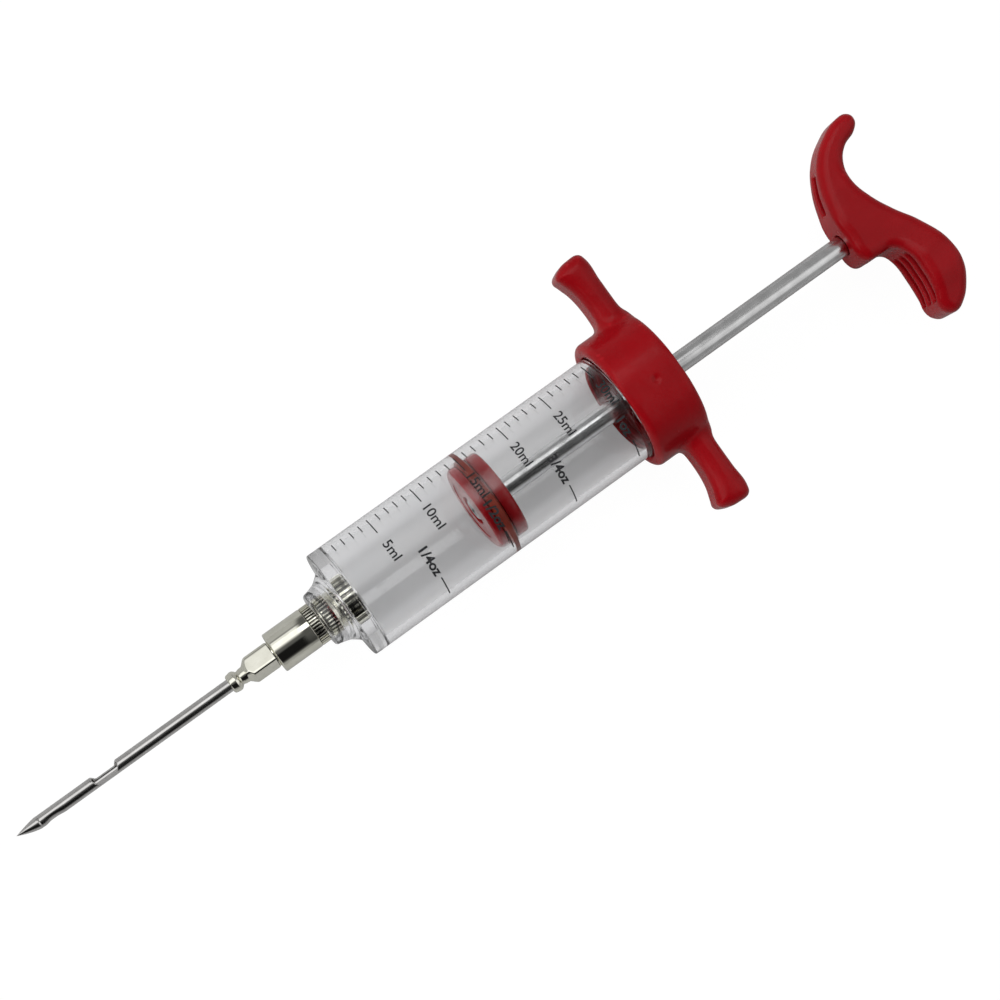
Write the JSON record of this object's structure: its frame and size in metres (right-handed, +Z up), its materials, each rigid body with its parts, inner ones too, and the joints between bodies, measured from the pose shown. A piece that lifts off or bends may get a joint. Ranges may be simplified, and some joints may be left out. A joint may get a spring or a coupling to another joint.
{
  "type": "marinade injector",
  "caption": "Kitchen syringe for injecting marinade: hollow needle on a Luer-lock nozzle, clear graduated barrel, screw cap with finger wings, o-ring piston on a steel rod with a curved T-handle.",
  "frame": {"origin": "centre of the bounding box's base, on the surface the injector lies on: the flat of the cap is at Z = 0", "axes": "+X along the barrel's axis from the needle point to the handle, +Y along one finger wing, +Z up from the surface it lies on"},
  "size_m": [0.2508, 0.068, 0.0318],
  "materials": {
    "needle_steel": "polished stainless steel",
    "rod_steel": "drawn stainless steel, satin",
    "nickel_plate": "bright nickel plate",
    "clear_acrylic": "clear moulded acrylic",
    "red_plastic": "red moulded plastic, semi-gloss",
    "silicone": "orange-red silicone",
    "white_nylon": "turned nylon",
    "brass": "turned brass"
  },
  "bodies": {
    "barrel": {"barrel": "clear_acrylic", "nozzle_insert": "nickel_plate", "lock_sleeve": "nickel_plate"},
    "needle_seal": {"needle_washer": "white_nylon"},
    "needle": {"needle_point": "needle_steel", "needle_tube": "needle_steel", "needle_hub": "nickel_plate"},
    "cap_seal": {"cap_seal_ring": "silicone"},
    "cap": {"cap": "red_plastic", "rod_guide_bush": "white_nylon"},
    "piston_seal": {"piston_o_ring": "silicone"},
    "plunger": {"piston_front_disc": "red_plastic", "piston_rear_disc": "red_plastic", "piston_washer": "rod_steel", "piston_screw": "rod_steel", "plunger_rod": "rod_steel", "handle_insert": "brass", "handle": "red_plastic"}
  },
  "joints": [
    {"name": "needle_advance", "type": "slide", "parent": "barrel", "child": "needle_seal", "axis": [-1, 0, 0], "range_m": [0, 0.0038]},
    {"name": "needle_unscrew", "type": "hinge", "parent": "needle_seal", "child": "needle", "pos_m": [-0.0493, 0, 0.0159], "axis": [-1, 0, 0], "range_deg": [0, 270]},
    {"name": "cap_advance", "type": "slide", "parent": "barrel", "child": "cap_seal", "axis": [1, 0, 0], "range_m": [0, 0.00749]},
    {"name": "cap_unscrew", "type": "hinge", "parent": "cap_seal", "child": "cap", "pos_m": [0.0395, 0, 0.0159], "axis": [1, 0, 0], "range_deg": [0, 900]},
    {"name": "plunger_slide", "type": "slide", "parent": "barrel", "child": "piston_seal", "axis": [1, 0, 0], "range_m": [-0.033, 0.0435]},
    {"name": "plunger_spin", "type": "hinge", "parent": "piston_seal", "child": "plunger", "pos_m": [0.0021, 0, 0.0159], "axis": [1, 0, 0], "continuous": true}
  ],
  "couplings": [
    {"joint": "needle_unscrew", "follows": "needle_advance", "rad_per_m": 1236.8},
    {"joint": "cap_unscrew", "follows": "cap_advance", "rad_per_m": 2094.4}
  ]
}
